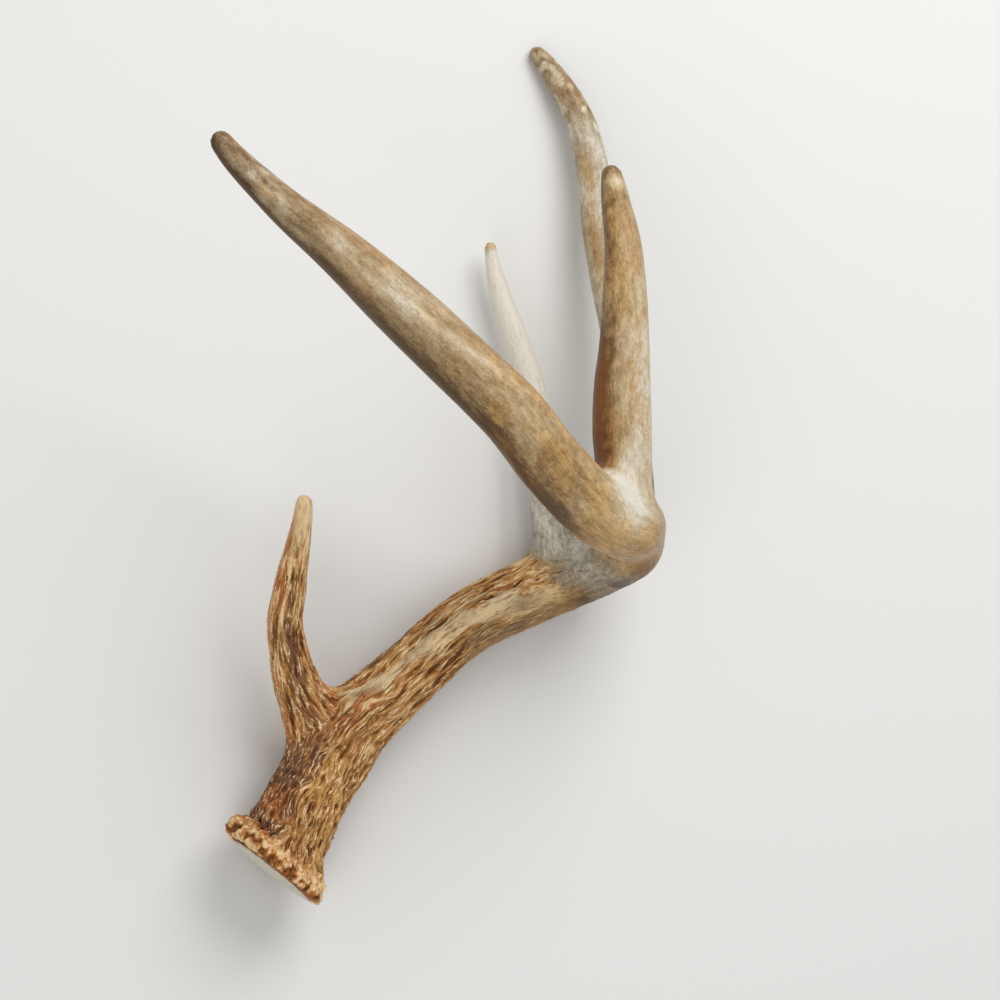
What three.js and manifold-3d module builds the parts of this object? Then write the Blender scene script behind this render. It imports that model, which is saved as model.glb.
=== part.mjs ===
import * as THREE from 'three';
import { mergeVertices } from 'three/addons/utils/BufferGeometryUtils.js';
import Module from 'manifold-3d';

// Left antler of a white-tailed buck: one main beam with its burr, and four tines that fork from it.
// Millimetres. The pieces are shaped in the growth frame, as the antler sits on the buck's head:
// origin at the middle of the burr, +X outwards, +Y up, +Z forwards. A turned group then lays the
// antler down on a surface at z = 0, where it rests on the burr's rim, the back of the beam's bend
// and the tip of the third tine.

const wasm = await Module();
wasm.setup();

// ---------------------------------------------------------------- driving dimensions

// Centre line of each branch, from its root to its tip. A row is x, y, z, and the section's half
// widths across and fore-and-aft.
const BEAM_PATH = [
  [1, 4, -1, 21.5, 21],
  [15, 34, -9, 19.5, 18.5],
  [34, 65, -19, 19.5, 17.5],
  [48, 78, -26, 17.6, 17],
  [66, 94, -35, 16.4, 16],
  [91, 116, -48, 16.2, 16],
  [122, 132, -61, 17, 16.5],
  [144, 141, -63, 17, 17],
  [162, 149, -55, 17, 17],
  [175.5, 157.5, -37, 17, 17],
  [178, 168, -13, 17, 17],
  [174.5, 169, 12, 17, 17],
  [160.5, 176, 37, 17, 16.8],
  [139, 196, 67, 15.8, 16.2],
  [116, 224, 97, 16, 15.6],
  [87, 251, 123, 15, 14.6],
  [63, 273, 144, 13.9, 13.5],
  [39, 294, 164, 11, 11],
  [14, 314, 182, 8.2, 8.2],
  [-5, 332, 195, 5.9, 5.9],
  [-13, 342, 201, 4.6, 4.6],
];
const BROW_PATH = [
  [28, 53, -19, 15, 13],
  [18, 71, -15, 15, 12.8],
  [10, 88, -9, 12, 11.2],
  [6, 104, -4, 9.8, 9.4],
  [4, 121, 2, 8.8, 8.6],
  [7, 139, 8, 8, 7.8],
  [11, 157, 13, 6.4, 6.4],
  [14, 173, 17, 4.8, 4.8],
  [15, 184, 18, 3.4, 3.4],
];
const SECOND_PATH = [
  [145, 147, -62, 13, 12],
  [142, 158, -62, 13.4, 12.4],
  [138, 174, -64, 10.6, 9.6],
  [134, 198, -67, 9.2, 8.2],
  [130, 224, -70, 8.2, 7.4],
  [125, 250, -72, 7.2, 6.8],
  [118, 271, -74, 6.5, 6.2],
  [112, 288, -75, 5.5, 5.5],
  [108, 304, -75, 4.1, 4.1],
  [106, 317, -75, 3, 3],
];
const THIRD_PATH = [
  [176, 160, -34, 15, 14],
  [178, 182, -38, 13, 12.5],
  [178, 208, -46, 10.8, 10.4],
  [177, 239, -56, 10.2, 9.8],
  [173, 271, -66, 9.8, 9.4],
  [168, 297, -74, 9.6, 9.2],
  [164, 324, -82, 9.4, 9],
  [161, 351, -89, 9, 8.6],
  [155, 380, -95, 7.9, 7.7],
  [144, 402, -99, 6.5, 6.4],
  [135, 415, -101, 5, 5],
  [129, 422, -102, 3.8, 3.8],
];
const FOURTH_PATH = [
  [173, 172, 7, 15, 14],
  [173, 194, 12, 14, 12.5],
  [172, 217, 15, 14.6, 11.6],
  [172, 239, 17, 14.2, 11.2],
  [173, 261, 18, 12.4, 10.8],
  [173, 286, 19, 10.9, 9.8],
  [172, 310, 19, 8.9, 8.4],
  [169, 328, 18, 7.3, 7.2],
  [167, 340, 17, 5.8, 5.8],
  [166, 347, 17, 4.4, 4.4],
];

const JOINT_GAP = 0.3; // clearance between a tine's root and the beam that it forks from

// The burr: a thick collar of rounded knobs around the seal, which was the joint with the skull.
const BURR_CENTRE = new THREE.Vector3(-4.6, -3.4, 1);
const BURR_AXIS = new THREE.Vector3(0.61, 0.76, -0.19).normalize(); // from the seal into the beam
const SEAL_FLAT_RADIUS = 12;
const BURR_PROFILE = [
  [0, 0],
  [SEAL_FLAT_RADIUS, 0],
  [23.5, 0.8],
  [27.8, 2.2],
  [30, 5.5],
  [27.6, 10],
  [23, 16],
  [0, 26],
];
const BURR_SEGMENTS = 32;
// Rows of knobs around the burr: height is above the seal, and stretch is along the beam. The part
// named chance is the most that it adds to a knob's turn, as a share of the spacing, height and size.
const KNOB_ROWS = [
  {
    count: 22, radius: 28.6, height: 4.8, size: 3.2, stretch: 1,
    chance: { turn: 0.35, height: 1.2, size: 0.9 },
  },
  {
    count: 13, radius: 26, height: 10, size: 2.6, stretch: 1.5,
    chance: { turn: 0.5, height: 2, size: 0.8 },
  },
];
// The one large knob, at the end of the collar under the beam's outer side.
const LARGE_KNOB = { turn: 0, radius: 29.6, height: 4.6, size: 3.6, stretch: 1.2 };
const KNOB_SEED = 41;
const KNOB_SIDES = 7;
const KNOB_RINGS = 4;

// Relief. Distances are from the root of the branch, and relief fades out between the two of a pair.
const BEAM_RIDGES_AROUND = 8;
const BEAM_RIDGE_HEIGHT = 1.5;
const BEAM_RIDGES_FADE = [20, 290];
const BEAM_RIDGE_SWING = 1.1; // how far the ridges waver to either side, in radians of their wave
const BEAM_RIDGE_SWING_LENGTH = 17;
const KNOT_WAVES_AROUND = [5, 2]; // two slanting waves, whose product breaks the ridges into knots
const KNOT_WAVE_LENGTHS = [13, 9];
const RIDGE_SHARE = 0.65;
const KNOT_SHARE = 0.45;
const RELIEF_SINK = 0.35; // lowers the relief, so that its crests stand at the girth in the table
const BROW_RIDGES_AROUND = 5;
const BROW_RIDGE_HEIGHT = 0.6;
const BROW_RIDGES_FADE = [60, 130];
const BROW_RIDGE_SWING_LENGTH = 14;
const LUMP_DISTANCE = 128; // the low lump on the second tine's outer edge
const LUMP_LENGTH = 7;
const LUMP_HEIGHT = 1.3;
const LUMP_NARROWNESS = 4;

// How finely each piece is faceted: sides around, and rows from the root to the tip.
const BEAM_ROWS = { segments: 32, firstStep: 6.2, lastStep: 20, relief: beamRelief };
const BROW_ROWS = { segments: 18, firstStep: 6, lastStep: 12, relief: browRelief };
const SECOND_ROWS = { segments: 14, firstStep: 12, lastStep: 14, relief: secondRelief };
const THIRD_ROWS = { segments: 14, firstStep: 13, lastStep: 15 };
const FOURTH_ROWS = { segments: 14, firstStep: 12, lastStep: 13 };
const TIP_ROWS = [0, 0.5, 0.85]; // the last rows, as shares of the rounded tip's length

// Where the antler lies: turned from the growth frame about X, Y and Z, then moved onto the surface.
const REST_TURN_DEG = [15.64, 2.87, 81.95];
const REST_SHIFT = [190.08, -101.13, 31.85];

// ---------------------------------------------------------------- materials

function bone(color, roughness) {
  return new THREE.MeshStandardMaterial({ color, roughness, metalness: 0 });
}

const BARK_BROWN = bone(0x9a7450, 0.6);
const TAN = bone(0xb08d63, 0.5);
const IVORY = bone(0xd8cfbb, 0.5);
const CREAM = bone(0xb7a283, 0.45);

// ---------------------------------------------------------------- helpers

// Repeatable pseudo-random numbers from 0 to 1.
function randomStream(seed) {
  let state = seed;
  return () => {
    state = (state * 16807) % 2147483647;
    return state / 2147483647;
  };
}

function toManifold(geometry) {
  const bare = geometry.clone();
  bare.deleteAttribute('normal');
  bare.deleteAttribute('uv');
  const merged = mergeVertices(bare, 1e-4);
  return new wasm.Manifold(new wasm.Mesh({
    numProp: 3,
    vertProperties: new Float32Array(merged.attributes.position.array),
    triVerts: new Uint32Array(merged.index.array),
  }));
}

function toGeometry(manifold) {
  const mesh = manifold.getMesh();
  const geometry = new THREE.BufferGeometry();
  geometry.setAttribute('position', new THREE.BufferAttribute(mesh.vertProperties, 3));
  geometry.setIndex(new THREE.BufferAttribute(mesh.triVerts, 1));
  geometry.computeVertexNormals();
  return geometry;
}

// A branch's centre line with its girth and a section frame carried along it without twist.
class Branch {
  constructor(path) {
    this.centre = new THREE.CatmullRomCurve3(path.map(([x, y, z]) => new THREE.Vector3(x, y, z)));
    this.girth = new THREE.CatmullRomCurve3(
      path.map(([, , , across, deep]) => new THREE.Vector3(across, deep, 0)), false, 'catmullrom');
    this.length = this.centre.getLength();
  }

  // Section frames at the given distances from the root.
  frames(stations) {
    let side = new THREE.Vector3(1, 0, 0);
    return stations.map((station) => {
      const t = this.centre.getUtoTmapping(Math.min(station / this.length, 1));
      const along = this.centre.getTangent(t);
      side = side.clone().addScaledVector(along, -side.dot(along)).normalize();
      const girth = this.girth.getPoint(t);
      return {
        station,
        origin: this.centre.getPoint(t),
        along,
        side,
        deep: new THREE.Vector3().crossVectors(side, along),
        across: girth.x,
        depth: girth.y,
      };
    });
  }
}

// Distances along a branch: rows close together where the relief is strong, wider further out, and
// the last rows drawn in to round off the tip.
function stationsAlong(length, firstStep, lastStep, tipRadius) {
  const stations = [0];
  while (stations.at(-1) < length - tipRadius) {
    const share = stations.at(-1) / length;
    stations.push(stations.at(-1) + THREE.MathUtils.lerp(firstStep, lastStep, share));
  }
  stations.pop();
  for (const share of TIP_ROWS) {
    stations.push(length - tipRadius * (1 - share));
  }
  return stations;
}

// A closed horn: a lathe-turned bar of unit radius, bent along the branch, with its girth and its
// relief, a function of the distance from the root and of the angle around the section.
function hornGeometry(branch, { segments, firstStep, lastStep, relief = () => 0, swell = 0 }) {
  const tipRadius = branch.girth.points.at(-1).x;
  const stations = stationsAlong(branch.length, firstStep, lastStep, tipRadius);
  const frames = branch.frames([...stations, branch.length]);
  const outline = [new THREE.Vector2(0, 0)];
  stations.forEach((station, row) => outline.push(new THREE.Vector2(1, row)));
  outline.push(new THREE.Vector2(0, stations.length));
  const geometry = new THREE.LatheGeometry(outline, segments);
  const position = geometry.attributes.position;
  const corner = new THREE.Vector3();
  for (let i = 0; i < position.count; i += 1) {
    corner.fromBufferAttribute(position, i);
    const frame = frames[Math.round(corner.y)];
    const angle = Math.atan2(corner.z, corner.x);
    const toTip = Math.max(branch.length - frame.station, 0);
    const roundness = Math.sqrt(Math.min(1, 1 - (1 - Math.min(toTip / tipRadius, 1)) ** 2));
    const rise = relief(frame.station, angle) + swell;
    const across = corner.x * (frame.across * roundness + rise);
    const deep = corner.z * (frame.depth * roundness + rise);
    const point = frame.origin.clone()
      .addScaledVector(frame.side, across)
      .addScaledVector(frame.deep, deep)
      .addScaledVector(frame.along, toTip === 0 ? swell : 0);
    position.setXYZ(i, point.x, point.y, point.z);
  }
  return geometry;
}

// ---------------------------------------------------------------- relief

function fadeOut(distance, [start, end]) {
  return 1 - THREE.MathUtils.smoothstep(distance, start, end);
}

// Long wavy ridges and grooves, strongest above the burr.
function beamRelief(station, angle) {
  const swing = BEAM_RIDGE_SWING * Math.sin(station / BEAM_RIDGE_SWING_LENGTH);
  const ridges = Math.cos(BEAM_RIDGES_AROUND * angle + swing);
  const [aroundA, aroundB] = KNOT_WAVES_AROUND;
  const [lengthA, lengthB] = KNOT_WAVE_LENGTHS;
  const slantA = Math.cos(aroundA * angle - station / lengthA);
  const slantB = Math.cos(aroundB * angle + station / lengthB);
  const height = RIDGE_SHARE * ridges + KNOT_SHARE * slantA * slantB - RELIEF_SINK;
  return BEAM_RIDGE_HEIGHT * fadeOut(station, BEAM_RIDGES_FADE) * height;
}

function browRelief(station, angle) {
  const swing = Math.sin(station / BROW_RIDGE_SWING_LENGTH);
  const ridges = Math.cos(BROW_RIDGES_AROUND * angle + swing);
  return BROW_RIDGE_HEIGHT * fadeOut(station, BROW_RIDGES_FADE) * ridges;
}

// The low lump part way up the outer edge of the second tine.
function secondRelief(station, angle) {
  const around = Math.max(Math.cos(angle), 0) ** LUMP_NARROWNESS;
  return LUMP_HEIGHT * Math.exp(-(((station - LUMP_DISTANCE) / LUMP_LENGTH) ** 2)) * around;
}

// ---------------------------------------------------------------- pieces

// One rounded knob of the burr, at an angle around it, a radius and a height above the seal.
function knob({ turn, radius, height, size, stretch }) {
  const geometry = new THREE.SphereGeometry(size, KNOB_SIDES, KNOB_RINGS);
  geometry.scale(1, stretch, 1);
  geometry.translate(radius, height, 0);
  geometry.rotateY(turn);
  return geometry;
}

// Turns a shape modelled around +Y to the burr's axis and moves it to the burr's centre.
function seatOnBurr(geometry) {
  const turn = new THREE.Quaternion().setFromUnitVectors(new THREE.Vector3(0, 1, 0), BURR_AXIS);
  geometry.applyQuaternion(turn);
  geometry.translate(BURR_CENTRE.x, BURR_CENTRE.y, BURR_CENTRE.z);
  return geometry;
}

// Every knob of the rows, each a little off its even place, and the large one.
function knobPlaces() {
  const random = randomStream(KNOB_SEED);
  const places = [LARGE_KNOB];
  for (const row of KNOB_ROWS) {
    for (let i = 0; i < row.count; i += 1) {
      places.push({
        ...row,
        turn: ((i + row.chance.turn * random()) / row.count) * 2 * Math.PI,
        height: row.height + row.chance.height * random(),
        size: row.size + row.chance.size * random(),
      });
    }
  }
  return places;
}

function burr() {
  const outline = BURR_PROFILE.map(([radius, height]) => new THREE.Vector2(radius, height));
  let solid = toManifold(seatOnBurr(new THREE.LatheGeometry(outline, BURR_SEGMENTS)));
  for (const place of knobPlaces()) {
    solid = solid.add(toManifold(seatOnBurr(knob(place))));
  }
  return solid;
}

const beamBranch = new Branch(BEAM_PATH);
const beamSolid = toManifold(hornGeometry(beamBranch, BEAM_ROWS)).add(burr());
const beamClearance = toManifold(hornGeometry(beamBranch, { ...BEAM_ROWS, swell: JOINT_GAP }));

function tine(path, rows) {
  const solid = toManifold(hornGeometry(new Branch(path), rows));
  return solid.subtract(beamClearance);
}

const PIECES = [
  ['main_beam', beamSolid, CREAM],
  ['brow_tine', tine(BROW_PATH, BROW_ROWS), BARK_BROWN],
  ['second_tine', tine(SECOND_PATH, SECOND_ROWS), IVORY],
  ['third_tine', tine(THIRD_PATH, THIRD_ROWS), CREAM],
  ['fourth_tine', tine(FOURTH_PATH, FOURTH_ROWS), TAN],
];

const antler = new THREE.Group();
antler.rotation.set(...REST_TURN_DEG.map(THREE.MathUtils.degToRad));
antler.position.set(...REST_SHIFT);
for (const [name, solid, material] of PIECES) {
  const mesh = new THREE.Mesh(toGeometry(solid), material);
  mesh.name = name;
  antler.add(mesh);
}

export default antler;
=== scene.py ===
import math

import bmesh
import bpy
import numpy as np
from mathutils import Euler, Matrix, Vector


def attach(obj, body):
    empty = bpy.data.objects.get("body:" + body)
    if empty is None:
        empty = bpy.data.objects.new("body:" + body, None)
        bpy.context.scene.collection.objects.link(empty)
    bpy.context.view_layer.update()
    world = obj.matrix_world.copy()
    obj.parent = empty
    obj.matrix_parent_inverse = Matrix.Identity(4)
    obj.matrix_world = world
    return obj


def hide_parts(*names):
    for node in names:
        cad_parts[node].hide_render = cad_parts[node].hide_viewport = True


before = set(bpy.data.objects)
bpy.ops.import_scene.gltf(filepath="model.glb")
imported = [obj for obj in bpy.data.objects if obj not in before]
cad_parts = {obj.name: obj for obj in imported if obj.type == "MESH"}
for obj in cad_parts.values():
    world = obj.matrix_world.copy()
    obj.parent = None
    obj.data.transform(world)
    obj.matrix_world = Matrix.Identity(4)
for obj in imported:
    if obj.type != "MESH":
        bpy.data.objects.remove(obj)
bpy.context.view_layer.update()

# Left antler of a white-tailed buck, laid down on a pale floor. The bone is one seamless skin: a smooth
# blend of the beam, its burr and four tines, with the ridges, knobs and pits raised in the mesh. It is
# worked out in the growth frame of the CAD part, in millimetres (x outwards, y up, z forwards, origin at
# the burr), and then turned to where the part lies.

MM = 0.001

# ---------------------------------------------------------------- sizes shared with the CAD part

# Rows of x, y, z, half width across, half width fore-and-aft.
BEAM_PATH = [
    (1, 4, -1, 21.5, 21), (15, 34, -9, 19.5, 18.5), (34, 65, -19, 19.5, 17.5), (48, 78, -26, 17.6, 17),
    (66, 94, -35, 16.4, 16), (91, 116, -48, 16.2, 16), (122, 132, -61, 17, 16.5), (144, 141, -63, 17, 17),
    (162, 149, -55, 17, 17), (175.5, 157.5, -37, 17, 17), (178, 168, -13, 17, 17), (174.5, 169, 12, 17, 17),
    (160.5, 176, 37, 17, 16.8), (139, 196, 67, 15.8, 16.2), (116, 224, 97, 16, 15.6),
    (87, 251, 123, 15, 14.6), (63, 273, 144, 13.9, 13.5), (39, 294, 164, 11, 11), (14, 314, 182, 8.2, 8.2),
    (-5, 332, 195, 5.9, 5.9), (-13, 342, 201, 4.6, 4.6),
]
BROW_PATH = [
    (28, 53, -19, 15, 13), (18, 71, -15, 15, 12.8), (10, 88, -9, 12, 11.2), (6, 104, -4, 9.8, 9.4),
    (4, 121, 2, 8.8, 8.6), (7, 139, 8, 8, 7.8), (11, 157, 13, 6.4, 6.4), (14, 173, 17, 4.8, 4.8),
    (15, 184, 18, 3.4, 3.4),
]
SECOND_PATH = [
    (145, 147, -62, 13, 12), (142, 158, -62, 13.4, 12.4), (138, 174, -64, 10.6, 9.6),
    (134, 198, -67, 9.2, 8.2), (130, 224, -70, 8.2, 7.4), (125, 250, -72, 7.2, 6.8),
    (118, 271, -74, 6.5, 6.2), (112, 288, -75, 5.5, 5.5), (108, 304, -75, 4.1, 4.1), (106, 317, -75, 3, 3),
]
THIRD_PATH = [
    (176, 160, -34, 15, 14), (178, 182, -38, 13, 12.5), (178, 208, -46, 10.8, 10.4),
    (177, 239, -56, 10.2, 9.8), (173, 271, -66, 9.8, 9.4), (168, 297, -74, 9.6, 9.2),
    (164, 324, -82, 9.4, 9), (161, 351, -89, 9, 8.6), (155, 380, -95, 7.9, 7.7), (144, 402, -99, 6.5, 6.4),
    (135, 415, -101, 5, 5), (129, 422, -102, 3.8, 3.8),
]
FOURTH_PATH = [
    (173, 172, 7, 15, 14), (173, 194, 12, 14, 12.5), (172, 217, 15, 14.6, 11.6), (172, 239, 17, 14.2, 11.2),
    (173, 261, 18, 12.4, 10.8), (173, 286, 19, 10.9, 9.8), (172, 310, 19, 8.9, 8.4),
    (169, 328, 18, 7.3, 7.2), (167, 340, 17, 5.8, 5.8), (166, 347, 17, 4.4, 4.4),
]
BURR_CENTRE = np.array((-4.6, -3.4, 1.0))
BURR_LEAN = np.array((0.61, 0.76, -0.19))
BURR_AXIS = BURR_LEAN / np.linalg.norm(BURR_LEAN)
REST_TURN_DEG = (15.64, 2.87, 81.95)
REST_SHIFT = (190.08, -101.13, 31.85)

REST = Euler([math.radians(a) for a in REST_TURN_DEG], "ZYX").to_matrix()

# ---------------------------------------------------------------- numbers and noise


def ease(value, low, high):
    """0 below low, 1 above high, smooth between."""
    t = np.clip((value - low) / (high - low), 0, 1)
    return t * t * (3 - 2 * t)


def hill(value, centre, width):
    """1 at centre, falling off on both sides over width."""
    return np.exp(-(((value - centre) / width) ** 2))


def spot(points, centre, radius):
    """1 at a place in mm, fading out round it."""
    return np.exp(-((points - np.array(centre)) ** 2).sum(axis=1) / radius ** 2)


def band(value, low, high, soft):
    """1 between low and high, fading over soft on either side."""
    return ease(value, low - soft, low + soft) * (1 - ease(value, high - soft, high + soft))


def mixed(a, b, share):
    """a where share is 0, b where it is 1."""
    return a + (b - a) * share


def away(turn, centre):
    """Degrees round the branch from centre, -180 to 180."""
    return (turn - centre + 180) % 360 - 180


class Noise:
    """Seeded gradient noise in three dimensions, from about -1 to 1."""

    def __init__(self, seed):
        random = np.random.default_rng(seed)
        self.order = random.permutation(256)
        slopes = random.normal(size=(256, 3))
        self.slopes = slopes / np.linalg.norm(slopes, axis=1, keepdims=True)

    def __call__(self, x, y, z):
        points = np.stack([x, y, z], axis=1)
        cell = np.floor(points).astype(int)
        inside = points - cell
        fade = inside ** 3 * (inside * (inside * 6 - 15) + 10)
        total = np.zeros(len(points))
        for corner in np.ndindex(2, 2, 2):
            a, b, c = (cell + corner).T
            hashed = self.order[(self.order[(self.order[a & 255] + b) & 255] + c) & 255]
            weight = np.where(corner, fade, 1 - fade).prod(axis=1)
            total += weight * (self.slopes[hashed] * (inside - corner)).sum(axis=1)
        return total * 1.7


# ---------------------------------------------------------------- the branches

SAMPLE_STEP = 2.0  # mm between the samples of a centre line
ROWS_AT_ONCE = 20000  # points worked on at a time, to save memory


def catmull_rom(rows, steps=16):
    """A centripetal Catmull-Rom curve through the rows' first three columns, carrying the others along."""
    rows = np.vstack([2 * rows[0] - rows[1], rows, 2 * rows[-1] - rows[-2]])
    out = []
    for p0, p1, p2, p3 in zip(rows, rows[1:], rows[2:], rows[3:]):
        knots = [0.0]
        for a, b in ((p0, p1), (p1, p2), (p2, p3)):
            knots.append(knots[-1] + math.sqrt(np.linalg.norm((b - a)[:3])))
        t0, t1, t2, t3 = knots
        for t in np.linspace(t1, t2, steps, endpoint=False):
            a1 = p0 + (p1 - p0) * (t - t0) / (t1 - t0)
            a2 = p1 + (p2 - p1) * (t - t1) / (t2 - t1)
            a3 = p2 + (p3 - p2) * (t - t2) / (t3 - t2)
            b1 = a1 + (a2 - a1) * (t - t0) / (t2 - t0)
            b2 = a2 + (a3 - a2) * (t - t1) / (t3 - t1)
            out.append(b1 + (b2 - b1) * (t - t1) / (t2 - t1))
    out.append(rows[-2])
    return np.array(out)


def unit(vectors):
    return vectors / np.maximum(np.linalg.norm(vectors, axis=-1, keepdims=True), 1e-9)


class Branch:
    """A tapering, slightly flattened horn along a centre line."""

    def __init__(self, path):
        curve = catmull_rom(np.array(path, float))
        run = np.r_[0, np.cumsum(np.linalg.norm(np.diff(curve[:, :3], axis=0), axis=1))]
        self.length = run[-1]
        self.runs = np.linspace(0, self.length, int(self.length / SAMPLE_STEP) + 1)
        self.line = np.stack([np.interp(self.runs, run, column) for column in curve.T], axis=1)
        self.centre = self.line[:, :3]
        self.along = unit(np.gradient(self.centre, axis=0))
        side = np.array((1.0, 0, 0))
        sides = []
        for along in self.along:
            side = unit(side - along * side.dot(along))
            sides.append(side)
        self.side = np.array(sides)
        self.deep = np.cross(self.side, self.along)
        self.round_from = self.length - path[-1][3]

    def at(self, run, table):
        """The rows of a table, one for each sample, read off at each run."""
        return np.stack([np.interp(run, self.runs, column) for column in table.T], axis=1)

    def locate(self, points):
        """Each point's distance from the skin, its run along the branch and its angle around it."""
        nearest = np.empty(len(points), int)
        squares = (self.centre ** 2).sum(axis=1)
        for start in range(0, len(points), ROWS_AT_ONCE):
            part = points[start:start + ROWS_AT_ONCE]
            nearest[start:start + ROWS_AT_ONCE] = np.argmin(squares - 2 * part @ self.centre.T, axis=1)
        ahead = ((points - self.centre[nearest]) * self.along[nearest]).sum(axis=1)
        run = np.clip(self.runs[nearest] + ahead, 0, self.round_from)
        frame_line = self.at(run, self.line)
        offset = points - frame_line[:, :3]
        u = (offset * unit(self.at(run, self.side))).sum(axis=1)
        v = (offset * unit(self.at(run, self.deep))).sum(axis=1)
        w = (offset * unit(self.at(run, self.along))).sum(axis=1)
        across, depth = frame_line[:, 3], frame_line[:, 4]
        inner = np.sqrt((u / across) ** 2 + (v / depth) ** 2 + (w / across) ** 2)
        outer = np.sqrt((u / across ** 2) ** 2 + (v / depth ** 2) ** 2 + (w / across ** 2) ** 2)
        distance = inner * (inner - 1) / np.maximum(outer, 1e-6)
        return distance, run + w, np.arctan2(v, u)

    def turn(self, points, run):
        """Each point's angle round the branch, in the frame at its run."""
        run = np.clip(run, 0, self.round_from)
        offset = points - self.at(run, self.centre)
        u = (offset * self.at(run, self.side)).sum(axis=1)
        return np.arctan2((offset * self.at(run, self.deep)).sum(axis=1), u)

    def soft_run(self, points, reach=9.0):
        """Each point's run as an average over the near samples, which doesn't jump inside a bend."""
        squares = ((points[:, None, :] - self.centre[None, :, :]) ** 2).sum(axis=2)
        weights = np.exp((squares.min(axis=1, keepdims=True) - squares) / (2 * reach ** 2))
        return weights @ self.runs / weights.sum(axis=1)

    def tube(self, builder, sides=24, step=4.0):
        """Adds a plain closed tube of this branch to a bmesh, to be remeshed."""
        rings = []
        for run in np.arange(0, self.round_from, step):
            row = self.at(np.array([run]), self.line)[0]
            side = self.at(np.array([run]), self.side)[0]
            deep = self.at(np.array([run]), self.deep)[0]
            turns = np.linspace(0, 2 * math.pi, sides, endpoint=False)
            ring = [row[:3] + side * row[3] * math.cos(t) + deep * row[4] * math.sin(t) for t in turns]
            rings.append([builder.verts.new(point) for point in ring])
        for low, high in zip(rings, rings[1:]):
            for i in range(sides):
                j = (i + 1) % sides
                builder.faces.new((low[i], high[i], high[j], low[j]))
        end = builder.verts.new(self.at(np.array([self.length]), self.centre)[0])
        start = builder.verts.new(self.centre[0])
        for i in range(sides):
            j = (i + 1) % sides
            builder.faces.new((rings[-1][i], end, rings[-1][j]))
            builder.faces.new((rings[0][j], start, rings[0][i]))


BEAM = Branch(BEAM_PATH)
BROW = Branch(BROW_PATH)
SECOND = Branch(SECOND_PATH)
THIRD = Branch(THIRD_PATH)
FOURTH = Branch(FOURTH_PATH)
# Each tine and how far its crotch is filled where it leaves the beam.
TINES = ((BROW, 11.0), (SECOND, 9.0), (THIRD, 9.0), (FOURTH, 7.0))
# The saddle between the fourth tine and the beam's forward sweep, which is filled further.
SADDLE = ((163, 191, 31), 15)
SADDLE_FILL = 22.0

# ---------------------------------------------------------------- the burr

BURR_REACH = 45.0  # nothing of the burr lies further than this from its centre
SEAL_FLAT = 12.0
SEAL_RISE = 1.0
RING_RADIUS = 26.2
RING_HEIGHT = 5.0
RING_THICKNESS = 3.3
# The ring stands this much higher where the turn is half a round, and this much lower opposite.
RING_TILT = 2.0
CORE_RADIUS = 15.0
CORE_HEIGHT = 12.0
CORE_ROUNDING = 8.0
# The plain disc under the burr: its radius at the seal and above, its depth, and its middle's height.
DISC = (29, 31, 13, 8.0)
# Rows of knobs round the burr: how many, radius, height above the seal, size, and stretch along the beam.
KNOB_ROWS = (
    (42, 27.4, 1.9, 2.1, 0.9),
    (38, 29.3, 4.2, 2.5, 0.85),
    (36, 28.8, 7.2, 2.4, 0.95),
    (30, 26.6, 10.2, 2.1, 1.3),
    (26, 24.4, 14.0, 1.5, 1.9),
    (18, 22.4, 18.0, 1.2, 2.6),
)
BIG_KNOB = (0.0, 29.6, 3.8, 3.6, 1.2)  # turn round the burr, radius, height, size, stretch
KNOB_WOBBLE = (Noise(11), Noise(12), Noise(13))


def burr_frame():
    """Two directions across the burr: the first lies in the picture plane, the second points forwards."""
    first = unit(np.cross(BURR_AXIS, (0.0, 0.0, 1.0)))
    return first, np.cross(first, BURR_AXIS)


BURR_SIDE, BURR_FRONT = burr_frame()


def knobs():
    """Every knob as its turn round the burr, radius, height, size and stretch."""
    random = np.random.default_rng(7)
    found = []
    for count, radius, height, size, stretch in KNOB_ROWS:
        for i in range(count):
            turn = 2 * math.pi * (i + random.uniform(-0.4, 0.4)) / count
            lean = RING_TILT * math.cos(turn) * min(height / RING_HEIGHT, 1.0)
            rise = height + random.uniform(-1.1, 1.1) - lean
            out = radius + random.uniform(-1.0, 0.5)
            own_size = size * random.uniform(0.6, 1.25)
            found.append((turn, out, rise, own_size, stretch * random.uniform(0.75, 1.3)))
    found.append(BIG_KNOB)
    return found


KNOBS = knobs()


def blend_min(a, b, reach):
    """The smaller of two distances, rounded where they meet."""
    share = np.clip(0.5 + 0.5 * (b - a) / reach, 0, 1)
    return b + (a - b) * share - reach * share * (1 - share)


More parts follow.
